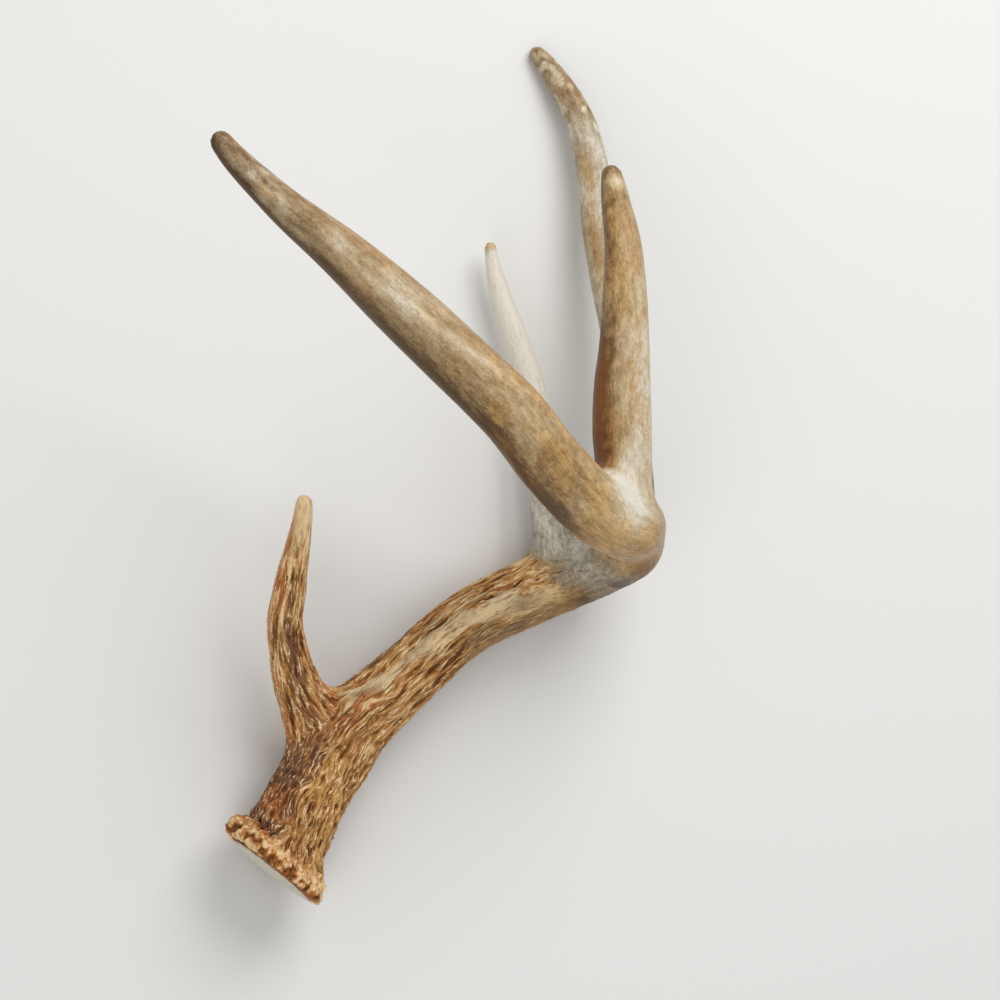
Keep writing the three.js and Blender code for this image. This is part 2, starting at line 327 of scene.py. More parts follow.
def burr_distance(points):
    """Distance from the burr with its knobs, and from the plain ring under them."""
    wobble = np.stack([noise(*(points.T / 4.5)) for noise in KNOB_WOBBLE], axis=1)
    rel = points + 1.1 * wobble - BURR_CENTRE
    height = rel @ BURR_AXIS
    flat = rel - height[:, None] * BURR_AXIS
    radius = np.linalg.norm(flat, axis=1)
    leaning = height + RING_TILT * (flat @ BURR_SIDE) / np.maximum(radius, 1.0)
    ring = np.hypot(radius - RING_RADIUS, leaning - RING_HEIGHT) - RING_THICKNESS
    outside = np.hypot(np.maximum(radius - CORE_RADIUS, 0), np.maximum(height - CORE_HEIGHT, 0))
    core = np.maximum(outside - CORE_ROUNDING, -height)
    distance = blend_min(ring, core, 3.0)
    smooth = distance
    for turn, out, rise, size, stretch in KNOBS:
        around = BURR_SIDE * math.cos(turn) + BURR_FRONT * math.sin(turn)
        offset = rel - around * out - BURR_AXIS * rise
        along = offset @ BURR_AXIS
        across = np.sqrt(np.maximum((offset ** 2).sum(axis=1) - along ** 2, 0))
        knob = np.sqrt(across ** 2 + (along / stretch) ** 2) - size
        distance = blend_min(distance, knob, 0.8)
    return distance, smooth


def seal_cut(points, distance):
    """Cuts the skin off at the seal: flat in the middle, curving up to the ring."""
    rel = points - BURR_CENTRE
    height = rel @ BURR_AXIS
    radius = np.linalg.norm(rel - height[:, None] * BURR_AXIS, axis=1)
    seal = SEAL_RISE * (np.maximum(radius - SEAL_FLAT, 0) / SEAL_FLAT) ** 2
    return -blend_min(-distance, height - seal, 0.8)


def near_burr(points):
    return ((points - BURR_CENTRE) ** 2).sum(axis=1) < BURR_REACH ** 2


TIP_MIDDLE = np.array((166.0, 346.0, 17.0))
TIP_REACH = 12.0
# The worn facets of the fourth tine's tip: the way that each looks, and how far it is from the tip's middle.
TIP_FACETS = ((unit(np.array((0.6, 0.45, 0.65))), 3.3), (unit(np.array((-0.8, 0.6, 0.2))), 3.9))


def skin_distance(points):
    """Signed distance, roughly in millimetres, from the smooth skin of the whole antler."""
    distance = BEAM.locate(points)[0]
    for tine, reach in TINES:
        if tine is FOURTH:
            reach = reach + SADDLE_FILL * spot(points, *SADDLE)
        distance = blend_min(distance, tine.locate(points)[0], reach)
    close = near_burr(points)
    if close.any():
        near = blend_min(distance[close], burr_distance(points[close])[0], 2.5)
        distance[close] = seal_cut(points[close], near)
    tip = ((points - TIP_MIDDLE) ** 2).sum(axis=1) < TIP_REACH ** 2
    for facing, off in TIP_FACETS:
        distance[tip] = np.maximum(distance[tip], (points[tip] - TIP_MIDDLE) @ facing - off)
    return distance


# ---------------------------------------------------------------- the mesh

VOXEL = 1.53
FINE_BEAM_RUN = 215.0  # beyond this run the beam is smooth, and its mesh stays coarse
FINE_BROW_RUN = 125.0
SLOPE_STEP = 0.3
# Offsets from a point to the corners of a small tetrahedron, where the slope of the distance is read.
CORNERS = SLOPE_STEP * np.array(((1, 1, 1), (1, -1, -1), (-1, 1, -1), (-1, -1, 1)))


def linked(name, data):
    """A new object in the scene."""
    found = bpy.data.objects.new(name, data)
    bpy.context.scene.collection.objects.link(found)
    return found


def plain_shape():
    """The tubes and a disc for the burr, as one object of overlapping closed shells."""
    builder = bmesh.new()
    for branch in (BEAM, BROW, SECOND, THIRD, FOURTH):
        branch.tube(builder)
    to_burr = Matrix((BURR_SIDE, BURR_FRONT, BURR_AXIS)).transposed().to_4x4()
    low_radius, high_radius, depth, rise = DISC
    middle = Vector(BURR_CENTRE + BURR_AXIS * rise)
    bmesh.ops.create_cone(builder, cap_ends=True, segments=64, radius1=low_radius, radius2=high_radius,
                          depth=depth, matrix=Matrix.Translation(middle) @ to_burr)
    bmesh.ops.recalc_face_normals(builder, faces=builder.faces)
    mesh = bpy.data.meshes.new("plain_shape")
    builder.to_mesh(mesh)
    builder.free()
    return linked("plain_shape", mesh)


def remeshed():
    """The plain shape as one even skin of quads: its points and faces."""
    plain = plain_shape()
    skin = plain.modifiers.new("skin", "REMESH")
    skin.mode = "VOXEL"
    skin.voxel_size = VOXEL
    skin.adaptivity = 0
    mesh = plain.evaluated_get(bpy.context.evaluated_depsgraph_get()).to_mesh()
    points = np.empty(len(mesh.vertices) * 3)
    mesh.vertices.foreach_get("co", points)
    faces = [tuple(face.vertices) for face in mesh.polygons]
    plain.to_mesh_clear()
    bpy.data.objects.remove(plain, do_unlink=True)
    return points.reshape(-1, 3), faces


def on_skin(points, rounds):
    """Moves the points onto the smooth skin, along its slope."""
    for _ in range(rounds):
        values = [skin_distance(points + corner) for corner in CORNERS]
        slope = sum(value[:, None] * corner for value, corner in zip(values, CORNERS))
        points = points - unit(slope) * (sum(values) / len(values))[:, None]
    return points


def edges_of(face):
    """The edges of a face as pairs of points, in order round it."""
    return zip(face, face[1:] + face[:1])


def relaxed(points, faces, rounds):
    """Evens out the spacing of the points, keeping them on the skin."""
    edges = np.array(sorted({tuple(sorted(edge)) for face in faces for edge in edges_of(face)}))
    count = np.bincount(edges.ravel(), minlength=len(points))[:, None]
    for _ in range(rounds):
        total = np.zeros_like(points)
        np.add.at(total, edges[:, 0], points[edges[:, 1]])
        np.add.at(total, edges[:, 1], points[edges[:, 0]])
        points = on_skin(points + 0.5 * (total / count - points), 1)
    return points


def finer(points, faces):
    """Halves the quads of the burr, the ridged part of the beam and the brow tine."""
    beam_distance, beam_run, _ = BEAM.locate(points)
    brow_distance, brow_run, _ = BROW.locate(points)
    fine = (beam_distance < 6) & (beam_run < FINE_BEAM_RUN) | (brow_distance < 3) & (brow_run < FINE_BROW_RUN)
    fine |= near_burr(points)
    builder = bmesh.new()
    verts = [builder.verts.new(point) for point in points]
    for face in faces:
        builder.faces.new([verts[i] for i in face])
    builder.verts.index_update()
    cut = [edge for edge in builder.edges if all(fine[vert.index] for vert in edge.verts)]
    bmesh.ops.subdivide_edges(builder, edges=cut, cuts=1, use_grid_fill=True)
    many_sided = [face for face in builder.faces if len(face.verts) > 4]
    bmesh.ops.triangulate(builder, faces=many_sided)
    builder.verts.index_update()
    found = np.array([vert.co for vert in builder.verts])
    shapes = [tuple(vert.index for vert in face.verts) for face in builder.faces]
    builder.free()
    return found, shapes


def smooth_skin():
    """The skin of the whole antler, before its relief: points and faces."""
    points, faces = remeshed()
    points = on_skin(points, 2)
    points = relaxed(points, faces, 2)
    points, faces = finer(points, faces)
    return on_skin(points, 1), faces


def vertex_normals(points, faces):
    """Area-weighted normals of the points."""
    corners = np.array([face if len(face) == 4 else (face + face[-1:])[:4] for face in faces])
    a, b, c, d = (points[corners[:, i]] for i in range(4))
    weight = np.cross(c - a, d - b)
    total = np.zeros_like(points)
    for i in range(4):
        np.add.at(total, corners[:, i], weight)
    return unit(total)


# ---------------------------------------------------------------- relief and markings

WARP_NOISE = Noise(1)
RIDGE_NOISE = Noise(2)
FINE_RIDGE_NOISE = Noise(3)
PIT_NOISE = Noise(4)
LUMP_NOISE = Noise(5)
PATCH_NOISE = Noise(6)
# Height of the ridges in mm along the beam and along the brow tine.
BEAM_RIDGES = ((0, 1.0), (60, 1.0), (110, 0.8), (160, 0.6), (225, 0.45), (265, 0.2), (300, 0.04), (640, 0.03))
BROW_RIDGES = ((0, 0.8), (60, 0.6), (100, 0.35), (125, 0.12), (142, 0.05))
TINE_RIDGES = ((0, 0.05), (300, 0.03))
BEND = (236.0, 366.0)  # the beam's runs on either side of its tight bend
# The grain is drawn out between the fork and the bend: run in mm and place along the grain.
LONG_GRAIN = ((0, 0), (60, 84), (90, 112), (230, 212), (300, 267), (700, 667))


class Coat:
    """What covers one branch at each point: the grain's coordinates, the relief and the colour masks."""

    def __init__(self, branch, points, seed, waviness=1.0):
        self.distance, self.run, angle = branch.locate(points)
        self.crease = np.zeros(len(points))
        if branch is BEAM:
            bent = (self.run > BEND[0]) & (self.run < BEND[1])
            soft = branch.soft_run(points[bent]) - self.run[bent]
            self.crease[bent] = ease(np.abs(soft), 3, 9)
            self.run[bent] += soft * band(self.run[bent], BEND[0] + 12, BEND[1] - 12, 10)
            angle[bent] = branch.turn(points[bent], self.run[bent])
        self.girth = np.interp(self.run, branch.runs, branch.line[:, 3:5].mean(axis=1))
        self.along = np.interp(self.run, *zip(*LONG_GRAIN)) if branch is BEAM else self.run
        self.turn = np.degrees(angle) % 360
        waver = WARP_NOISE(*self.around(angle, 5.5, 8.0, seed)) * 1.3
        waver += WARP_NOISE(*self.around(angle, 14.0, 26.0, seed + 9)) * 2.0
        if branch is BEAM:
            waviness = 1 - 0.75 * ease(self.run, 200, 280)
        self.angle = angle + waver * waviness / self.girth
        self.seed = seed

    def around(self, angle, across, along, seed):
        """Coordinates on the skin in cells of across by along mm."""
        return (self.girth * np.cos(angle) / across, self.girth * np.sin(angle) / across + 17.3 * seed,
                self.along / along + 5.1 * seed)

    def noise(self, noise, across, along, seed=0):
        return noise(*self.around(self.angle, across, along, self.seed + seed))

    def grain(self):
        """Coordinates in mm, two across the branch and one along it, for the material's noise."""
        across = (self.girth * np.cos(self.angle), self.girth * np.sin(self.angle))
        return np.stack([*across, self.along], axis=1)

    def facing(self, centre, width):
        """1 where the skin's angle round the branch is near centre, in degrees."""
        return hill(away(self.turn, centre), 0, width)

    def ridges(self, heights, calm, across=2.4, along=13.0):
        """Wavy crests along the grain with pits between: (height in mm, crest from -1 to 1)."""
        runs, sizes = np.array(heights).T
        size = np.interp(self.run, runs, sizes) * (1 - calm)
        wide = np.maximum(1 - 3.6 * np.abs(self.noise(RIDGE_NOISE, across, along)), -1)
        narrow = np.maximum(1 - 3.4 * np.abs(self.noise(FINE_RIDGE_NOISE, 0.7 * across, 0.6 * along)), -1)
        pits = ease(self.noise(PIT_NOISE, across, 0.5 * along), 0.22, 0.5)
        crest = np.clip(0.7 * wide + 0.42 * narrow - 0.4 * pits, -1.2, 1.1)
        return size * crest, crest


# Where the smooth pale band lies on the beam: run in mm and angle in degrees.
PALE_BAND = ((66, 132), (84, 118), (97, 103), (123, 94), (153, 94), (175, 72), (188, 58), (215, 55))
# The dark brown band along the lower edge of the bend, darkest at that edge as seen from the front.
UNDER_DARK_BAND = ((225, 8), (248, 352), (274, 340), (293, 330), (312, 322))
# The pale ridge along the forward sweep.
CROWN = ((425, 268), (455, 283), (483, 301), (528, 319), (560, 330))
UNDER_EDGE = (0.44, 61.3)  # that edge as seen from the front: its slope, and its height at x = 0
# Places in mm with a colour of their own, some with painted light or shade as noted.
ORANGE_SPOTS = (((-1, 32, 8), 9), ((9, 39, 12), 3.5), ((12, 56, 6), 4), ((24, 80, -6), 6), ((48, 84, -8), 5))
# The last gold spot is golden bone, lightened partly as painted light on the bend's shaded underside.
GOLD_SPOTS = (((22, 46, 6), 13), ((160, 165, 42), 15), ((180, 160, 24), 13), ((183, 150, -16), 11))
# Grey-olive bone on the back limb under the front limb, with a little painted shade.
BEND_GREY_AND_SHADE = ((164, 146, -38), 18)
# Pale bone on the saddle below the fourth tine, with a painted highlight.
BEND_PALE_AND_HIGHLIGHT = ((171, 184, 36), 20)
ROOT_LIGHT = ((152, 159, -47), 16)  # the smooth web beside the second tine's root


def along_path(path, run):
    """The angle of a marking's middle at each run."""
    runs, angles = np.array(path).T
    return np.interp(run, runs, angles)


def on_beam(points):
    """The beam's coat, its relief in mm, its crests from -1 to 1, and its colour masks."""
    coat = Coat(BEAM, points, 0)
    run, turn = coat.run, coat.turn
    streaks = coat.noise(PATCH_NOISE, 3.2, 24)
    patches = coat.noise(PATCH_NOISE, 8, 16, 3)
    blotch = coat.noise(PATCH_NOISE, 12, 30, 5)
    mottle = coat.noise(PATCH_NOISE, 4.5, 7, 7)

    off_band = away(turn, along_path(PALE_BAND, run)) + 20 * streaks + 8 * patches
    pale_band = (1 - ease(np.abs(off_band), 10, 24)) * band(run, 72, 212, 9)
    above = ease(off_band, 15, 24) * (1 - ease(off_band, 115, 140)) * band(run, 90, 244, 14)
    above = above * (1 - ease(run, 200, 216) * ease(off_band, 46, 62))
    left = band(turn + 22 * patches, 88, 200, 18) * (1 - ease(run + 10 * streaks, 64, 92))
    plates = left * ease(patches, -0.35, 0.25) * ease(run, 12, 24)
    lower_edge = coat.facing(8, 34) * band(run, 150, 262, 16)
    smooth_side = 1 - coat.crease
    above_edge = points[:, 1] - UNDER_EDGE[0] * points[:, 0] - UNDER_EDGE[1]
    under = hill(away(turn, along_path(UNDER_DARK_BAND, run)), 0, 30) * band(run, 228, 288, 22) * smooth_side
    under = under * (1 - ease(above_edge, 3, 11)) * (1 - 0.6 * ease(points[:, 0], 168, 182))
    # Grey bone with a little painted shade, on the back limb where the front limb shades it.
    grey_and_shade = spot(points, *BEND_GREY_AND_SHADE) * (1 - ease(points[:, 2], -22, 0))
    # The saddle's pale bone with its painted highlight, and the smooth web by the second tine.
    light, web = spot(points, *BEND_PALE_AND_HIGHLIGHT), spot(points, *ROOT_LIGHT)
    golden = sum(spot(points, *gold_spot) for gold_spot in GOLD_SPOTS)
    front = ease(run, 330, 380)
    # The front limb's underside is painted darker: partly a real stain, partly painted shade.
    front_under = coat.facing(36, 33) * front
    front_upper = coat.facing(262, 34) * ease(run, 370, 430)

    calm = np.clip(0.85 * pale_band + 0.6 * plates + 0.5 * lower_edge, 0, 0.88)
    height, crest = coat.ridges(BEAM_RIDGES, calm)
    network = 1 - 2.6 * np.abs(coat.noise(RIDGE_NOISE, 4.2, 6.5, 4))
    crest = crest + (np.clip(network, -0.9, 1) - 0.45 - crest) * left * 0.8
    crest += 0.7 * ease(run, 155, 200) + 0.25 * (1 - left) * (1 - ease(run, 100, 140))
    height += 0.4 * left * np.clip(network, 0, 1)
    height += 0.55 * coat.noise(LUMP_NOISE, 15, 32) * (1 - 0.5 * ease(run, 120, 300))
    height += 0.7 * ease(above, 0.2, 0.9) * hill(off_band, 34, 16)
    height -= 0.5 * hill(off_band, 19, 5) * band(run, 96, 200, 12)

    bark = 1.0 - 0.28 * ease(run, 120, 160) - 0.22 * ease(run, 190, 235)
    bark += 0.5 * streaks * ease(run, 95, 140) + 0.3 * above
    bark -= 0.72 * pale_band + 1.1 * web + 0.5 * lower_edge
    bark -= 0.35 * (1 - above) * coat.facing(70, 60) * ease(run, 172, 192)
    bark = np.clip(bark, 0, 1) * (1 - ease(run + 30 * streaks + 10 * mottle, 224, 278)) * smooth_side
    rust = 0.55 * coat.facing(104, 36) * hill(run, 74, 18) * (1 - pale_band) + 0.15 * (0.5 + patches) * above
    rust += 0.35 * ease(mottle, 0.2, 0.6) * (1 - ease(run, 110, 160))
    rust += 0.3 * under + 0.12 * ease(blotch, 0.15, 0.6) * front + 0.4 * front_upper + 0.2 * front_under
    for orange_spot in ORANGE_SPOTS:
        rust += 0.9 * spot(points, *orange_spot)
    # The left side of the base is darker: partly its own dark bark, partly painted shade.
    dusk = left * (0.8 - 0.6 * ease(patches, 0.1, 0.6) + 0.25 * mottle)
    dusk += 0.8 * coat.facing(160, 24) * band(run, 92, 134, 10)
    gold = 0.5 + 0.6 * patches - 0.4 * left + 0.2 * ease(run, 180, 215)
    gold -= 0.6 * ease(run, 262, 300) + 0.9 * grey_and_shade + 0.7 * web + 0.5 * light
    gold += (0.5 + 0.25 * blotch) * front * (1 - 1.1 * ease(run, 410, 500)) - 0.5 * front_under + 1.1 * golden
    # This mask darkens towards olive: real stains, and painted shade on the front limb's underside and on the
    # back limb under it.
    stain_and_shade = 1.15 * under + front_under + 0.25 * lower_edge + 0.1 * grey_and_shade + 0.12 * band(run, 190, 240, 15)
    stain_and_shade += 0.08 * ease(mottle, 0.0, 0.6) * front + 0.3 * golden * ease(run, 200, 300)
    stain_and_shade += 0.12 * front * (1 - ease(run, 430, 500)) + 0.3 * ease(run, 550, 620)
    stain_and_shade += 0.5 * hill(run, 606, 8) * ease(mottle, 0.1, 0.5)
    # The pale mask also carries the painted highlight on the saddle.
    pale = (0.4 + 0.4 * patches) * pale_band + 1.1 * light + 0.3 * web
    pale += 0.2 * grey_and_shade + 0.25 * ease(-blotch, 0.05, 0.5) * front
    pale += 0.3 * ease(-mottle, 0.2, 0.6) * ease(run, 560, 600)
    crown = hill(away(turn, along_path(CROWN, run)), 0, 15) * band(run, 425, 550, 25)
    height += 0.5 * crown
    pale += 0.45 * crown * (0.8 + 0.5 * blotch)
    warm = 1.0 + 0.15 * blotch - 0.9 * grey_and_shade - 0.7 * web - 0.35 * light - 0.2 * ease(run, 420, 500)
    warm -= 0.15 * ease(run, 560, 620)
    return coat, height, crest, {
        "bark": bark, "rust": rust, "dusk": dusk, "gold": gold, "stain_and_shade": stain_and_shade, "pale": pale, "warm": warm,
        "fading": 1 - ease(run, 205, 290),
    }


def on_brow(points):
    coat = Coat(BROW, points, 2, 0.35)
    run = coat.run
    height, crest = coat.ridges(BROW_RIDGES, 0.0, 2.6, 34.0)
    height += 0.4 * coat.noise(LUMP_NOISE, 12, 30)
    streaks = coat.noise(PATCH_NOISE, 3.6, 44)
    patches = coat.noise(PATCH_NOISE, 6, 14, 3)
    dark_groove = coat.facing(80, 20) * band(run, 22, 110, 10)
    cream_rib = coat.facing(102, 7) * band(run, 76, 106, 8)
    height += 0.3 * cream_rib - 0.5 * dark_groove
    crest = crest - 0.7 * dark_groove * (0.6 + 0.8 * np.abs(streaks)) + 0.45 + 1.1 * cream_rib
    bark = 1.1 - 0.85 * ease(run + 16 * streaks, 96, 128) + 0.2 * streaks
    rust = 0.25 * ease(streaks, 0.0, 0.5) + 0.35 * hill(run, 8, 26) + 0.25 * ease(patches, 0.1, 0.5)
    rust += coat.facing(150, 34) * (0.3 + 0.7 * band(run, 94, 134, 8))
    rust += 0.3 * coat.facing(15, 30) * band(run, 20, 100, 15)
    dusk = 0.35 * ease(-streaks, 0.0, 0.45) * band(run, 20, 105, 15) + 0.55 * dark_groove
    gold = 0.45 + 0.4 * patches + 1.2 * ease(run, 105, 125)
    pale = 0.45 * coat.facing(40, 40) * band(run, 90, 128, 8) + 0.7 * ease(run, 104, 128)
    return coat, height, crest, {
        "bark": np.clip(bark, 0, 1), "rust": rust, "dusk": dusk, "gold": gold, "stain_and_shade": 0.15 * patches,
        "pale": pale, "warm": np.ones_like(run), "fading": 1 - 0.8 * ease(run, 112, 126),
    }


def on_smooth_tine(branch, points, seed, pale, stain_and_shade, warm, rust, gold):
    """The same for a smooth tine. Each mask is given as a function of the coat, and some of its mottling."""
    coat = Coat(branch, points, seed, 0.25)
    height, crest = coat.ridges(TINE_RIDGES, 0.0)
    height += 0.45 * coat.noise(LUMP_NOISE, 14, 36)
    blotch = coat.noise(PATCH_NOISE, 9, 26, 5)
    mottle = coat.noise(PATCH_NOISE, 4, 7, 7)
    nothing = np.zeros_like(coat.run)
    return coat, height, crest, {
        "bark": nothing, "dusk": nothing, "fading": nothing,
        "rust": rust(coat) + 0.15 * ease(blotch, 0.1, 0.6),
        "gold": gold(coat) + 0.2 * blotch,
        "stain_and_shade": stain_and_shade(coat, mottle) + 0.15 * ease(blotch, 0.1, 0.6) + 0.15 * ease(mottle, 0.1, 0.6),
        "pale": pale(coat, mottle) + 0.2 * ease(-blotch, 0.1, 0.6),
        "warm": warm(coat) + 0.2 * blotch,
    }


def on_second(points):
    return on_smooth_tine(
        SECOND, points, 4,
        pale=lambda c, m: 0.12 + 0.9 * ease(c.run, 34, 90) - 0.8 * ease(c.run, 167, 173),
        stain_and_shade=lambda c, m: 0.15 * ease(c.run, 169, 178) + 0.45 * c.facing(0, 28) * band(c.run, 60, 160, 20),
        warm=lambda c: -0.05 + 0.9 * ease(c.run, 162, 176) + 0.7 * c.facing(0, 36),
        rust=lambda c: 0.3 * ease(c.run, 167, 174) + 0.35 * c.facing(0, 22) * band(c.run, 60, 160, 20),
        gold=lambda c: 1.0 * ease(c.run, 167, 175) + 0.4 * c.facing(0, 40) * band(c.run, 60, 160, 20) - 0.2,
    )


def on_third(points):
    return on_smooth_tine(
        THIRD, points, 6,
        pale=lambda c, m: (0.12 + 0.1 * band(c.run, 90, 220, 30)
                           + 0.9 * ease(m, 0.15, 0.5) * ease(c.run, 205, 235)),
        stain_and_shade=lambda c, m: 0.4 * ease(c.run, 224, 250) * (0.8 + 1.2 * m) + 0.35 * (1 - ease(c.run, 20, 90)),
        warm=lambda c: (0.25 + 0.15 * ease(c.run, 80, 160) + 0.25 * ease(c.run, 222, 248)
                        + 0.5 * c.facing(118, 30) * band(c.run, 110, 215, 20)),
        rust=lambda c: 0.24 * ease(c.run, 225, 250) + 0.25 * c.facing(118, 26) * band(c.run, 110, 215, 20),
        gold=lambda c: 0.3 * c.facing(118, 40) * band(c.run, 90, 215, 20) + 0.2 * ease(c.run, 230, 255) - 0.3,
    )


def on_fourth(points):
    return on_smooth_tine(
        FOURTH, points, 8,
        pale=lambda c, m: (0.15 + 0.35 * c.facing(40, 50) * band(c.run, 10, 110, 20)
                           + 0.9 * hill(c.run, 168, 4.5) * c.facing(70, 45)),
        # Darker on the left side, most at the base: a real stain there, and partly painted shade all along.
        stain_and_shade=lambda c, m: (1.15 * c.facing(160, 40) * band(c.run, 5, 95, 18) * (0.8 + 0.5 * m)
                            + 0.3 * c.facing(170, 45) + 0.2 * ease(c.run, 116, 132)
                            + 0.3 * ease(c.run, 150, 172)),
        warm=lambda c: 0.85 + 0.15 * ease(c.run, 90, 150),
        rust=lambda c: (0.1 + 0.4 * band(c.run, 118, 152, 8) * c.facing(60, 60)
                        + 0.5 * c.facing(150, 40) * band(c.run, 5, 95, 18)),
        gold=lambda c: 0.05 + 0.25 * c.facing(120, 60) + 0.2 * band(c.run, 112, 160, 10),
    )


MASKS = ("bark", "rust", "dusk", "gold", "stain_and_shade", "pale", "warm", "fading")
NODE_NAMES = ("main_beam", "brow_tine", "second_tine", "third_tine", "fourth_tine")
GRAIN_APART = 211.0  # keeps the grains of two tines from being the same


class Skin:
    """The whole antler's points with what the material needs at each."""

    def __init__(self):
        self.points, self.faces = smooth_skin()
        covers = [make(self.points) for make in (on_beam, on_brow, on_second, on_third, on_fourth)]
        beam, height, crest, self.masks = covers[0]
        self.beam_grain = beam.grain()
        self.tine_grain = np.zeros_like(self.points)
        self.share = np.zeros(len(self.points))
        self.owner = np.zeros(len(self.points), int)
        distances = np.array([cover[0].distance for cover in covers])
        for index, (cover, (_, reach)) in enumerate(zip(covers[1:], TINES), start=1):
            coat, own_height, own_crest, own_masks = cover
            nearest_other = np.delete(distances, index, axis=0).min(axis=0)
            share = ease(0.5 + 0.5 * (nearest_other - coat.distance) / reach, 0, 1)
            height = mixed(height, own_height, share)
            crest = mixed(crest, own_crest, share)
            self.masks = {name: mixed(self.masks[name], own_masks[name], share) for name in MASKS}
            self.tine_grain[share > 0] = coat.grain()[share > 0] + GRAIN_APART * index
            self.share = np.maximum(self.share, share)
            self.owner[share > 0.5] = index
        self.add_burr(height, crest, beam.distance)

    def add_burr(self, height, crest, beam_distance):
        """Fades the ridges out on the burr, colours its knobs as crests, and leaves the seal bare."""
        rel = self.points - BURR_CENTRE
        rise = rel @ BURR_AXIS
        radius = np.linalg.norm(rel - rise[:, None] * BURR_AXIS, axis=1)
        close = near_burr(self.points)
        seal = (1 - ease(rise, 0.9, 1.9)) * (1 - ease(radius, 24.8, 26.2)) * close
        proud = np.zeros(len(self.points))
        plain = np.minimum(burr_distance(self.points[close])[1], beam_distance[close])
        proud[close] = ease(plain, 0.2, 1.5)
        on_ring = (1 - ease(rise, 9, 17)) * close
        grit = LUMP_NOISE(*(self.points.T / 1.6))
        low = 1 - ease(rise, 1.5, 4.5)
        crest = mixed(crest, 1.5 * proud - 0.72 + 0.8 * grit + 0.4 * low, on_ring)
        lumps = LUMP_NOISE(*(self.points.T / 2.1)) * 0.2
        height = mixed(height, lumps, on_ring)
        tint = PATCH_NOISE(*(self.points.T / 5.0))
        rust = mixed(self.masks["rust"], 0.35 + 0.6 * ease(tint, 0.0, 0.4), on_ring)
        # The big knob is painted paler: partly its pale bone, partly painted light where the lamps leave it
        # in shade.
        big_knob = spot(self.points, BURR_CENTRE + BURR_AXIS * BIG_KNOB[2] + BURR_SIDE * BIG_KNOB[1], 9)
        self.masks["rust"] = rust * (1 - big_knob)
        self.masks["dusk"] = self.masks["dusk"] * (1 - on_ring)
        crest = crest + 1.8 * big_knob
        height = height * (1 - seal) + 0.3 * seal * LUMP_NOISE(*(self.points.T / 3.1))
        self.crest, self.ring, self.seal = crest * (1 - seal), 0.75 * on_ring, seal
        across_seal = np.stack([rel @ BURR_SIDE, rel @ BURR_FRONT, rise], axis=1)
        self.beam_grain = mixed(self.beam_grain, across_seal, seal[:, None])
        self.points = self.points + vertex_normals(self.points, self.faces) * height[:, None]
        self.normals = vertex_normals(self.points, self.faces)


# ---------------------------------------------------------------- the bone's material


def linear(red, green, blue):
    """An sRGB colour of 0 to 255 as the linear values that a shader takes."""
    parts = [c / 255 for c in (red, green, blue)]
    return tuple(c / 12.92 if c <= 0.04045 else ((c + 0.055) / 1.055) ** 2.4 for c in parts) + (1.0,)


class Nodes:
    """Short names for building a node tree."""

    def __init__(self, tree):
        self.tree = tree

    def new(self, kind, inputs=None, **settings):
        node = self.tree.nodes.new(kind)
        for name, value in settings.items():
            setattr(node, name, value)
        for name, value in (inputs or {}).items():
            self.put(value, node.inputs[name])
        return node

    def put(self, value, socket):
        if isinstance(value, bpy.types.NodeSocket):
            self.tree.links.new(value, socket)
        else:
            socket.default_value = value

    def attribute(self, name, output="Fac"):
        return self.new("ShaderNodeAttribute", attribute_name=name).outputs[output]

    def math(self, operation, *values):
        return self.new("ShaderNodeMath", dict(enumerate(values)), operation=operation).outputs[0]

    def remap(self, value, low, high, new_low=0.0, new_high=1.0):
        inputs = {"Value": value, "From Min": low, "From Max": high, "To Min": new_low, "To Max": new_high}
        return self.new("ShaderNodeMapRange", inputs, interpolation_type="SMOOTHSTEP").outputs["Result"]

    def mix(self, share, a, b):
        node = self.new("ShaderNodeMix", {0: share}, data_type="RGBA")
        self.put(a, node.inputs[6])
        self.put(b, node.inputs[7])
        return node.outputs[2]

    def blend(self, share, a, b):
        return self.new("ShaderNodeMix", {0: share, 2: a, 3: b}, data_type="FLOAT").outputs[0]

    def ramp(self, value, *stops):
        node = self.new("ShaderNodeValToRGB", {"Fac": value})
        elements = node.color_ramp.elements
        while len(elements) < len(stops):
            elements.new(0.5)
        for element, (position, colour) in zip(elements, stops):
            element.position = position
            element.color = colour
        return node.outputs["Color"]

    def noise(self, vector, scale, detail=3.0, roughness=0.55):
        inputs = {"Vector": vector, "Scale": scale, "Detail": detail, "Roughness": roughness}
        return self.new("ShaderNodeTexNoise", inputs).outputs["Fac"]


def grained_noise(nodes, across, along, detail=3.0, roughness=0.55):
    """Noise in cells of across by along mm that follow the branch, blended where a tine leaves the beam."""
    found = []
    cells = (1 / across, 1 / across, 1 / along)
    for name in ("beam_grain", "tine_grain"):
        vector = nodes.attribute(name, "Vector")
        stretch = nodes.new("ShaderNodeMapping", {"Vector": vector, "Scale": cells})
        found.append(nodes.noise(stretch.outputs["Vector"], 1.0, detail, roughness))
    return nodes.blend(nodes.remap(nodes.attribute("tine_share"), 0.35, 0.65), *found)


DARK_BARK = linear(86, 46, 5)
BROWN_BARK = linear(132, 82, 34)
TAN_BARK = linear(162, 108, 56)
MAUVE_BARK = linear(146, 104, 76)
LIGHT_BARK = linear(200, 150, 92)
CREAM_CREST = linear(236, 204, 154)
RUST = linear(154, 84, 26)
ORANGE_BARK = linear(192, 112, 50)
AMBER_BARK = linear(184, 134, 64)
# The dark mauve-brown of the dusk mask: dark bark, and on the left of the base partly painted shade.
DUSK = linear(116, 78, 52)
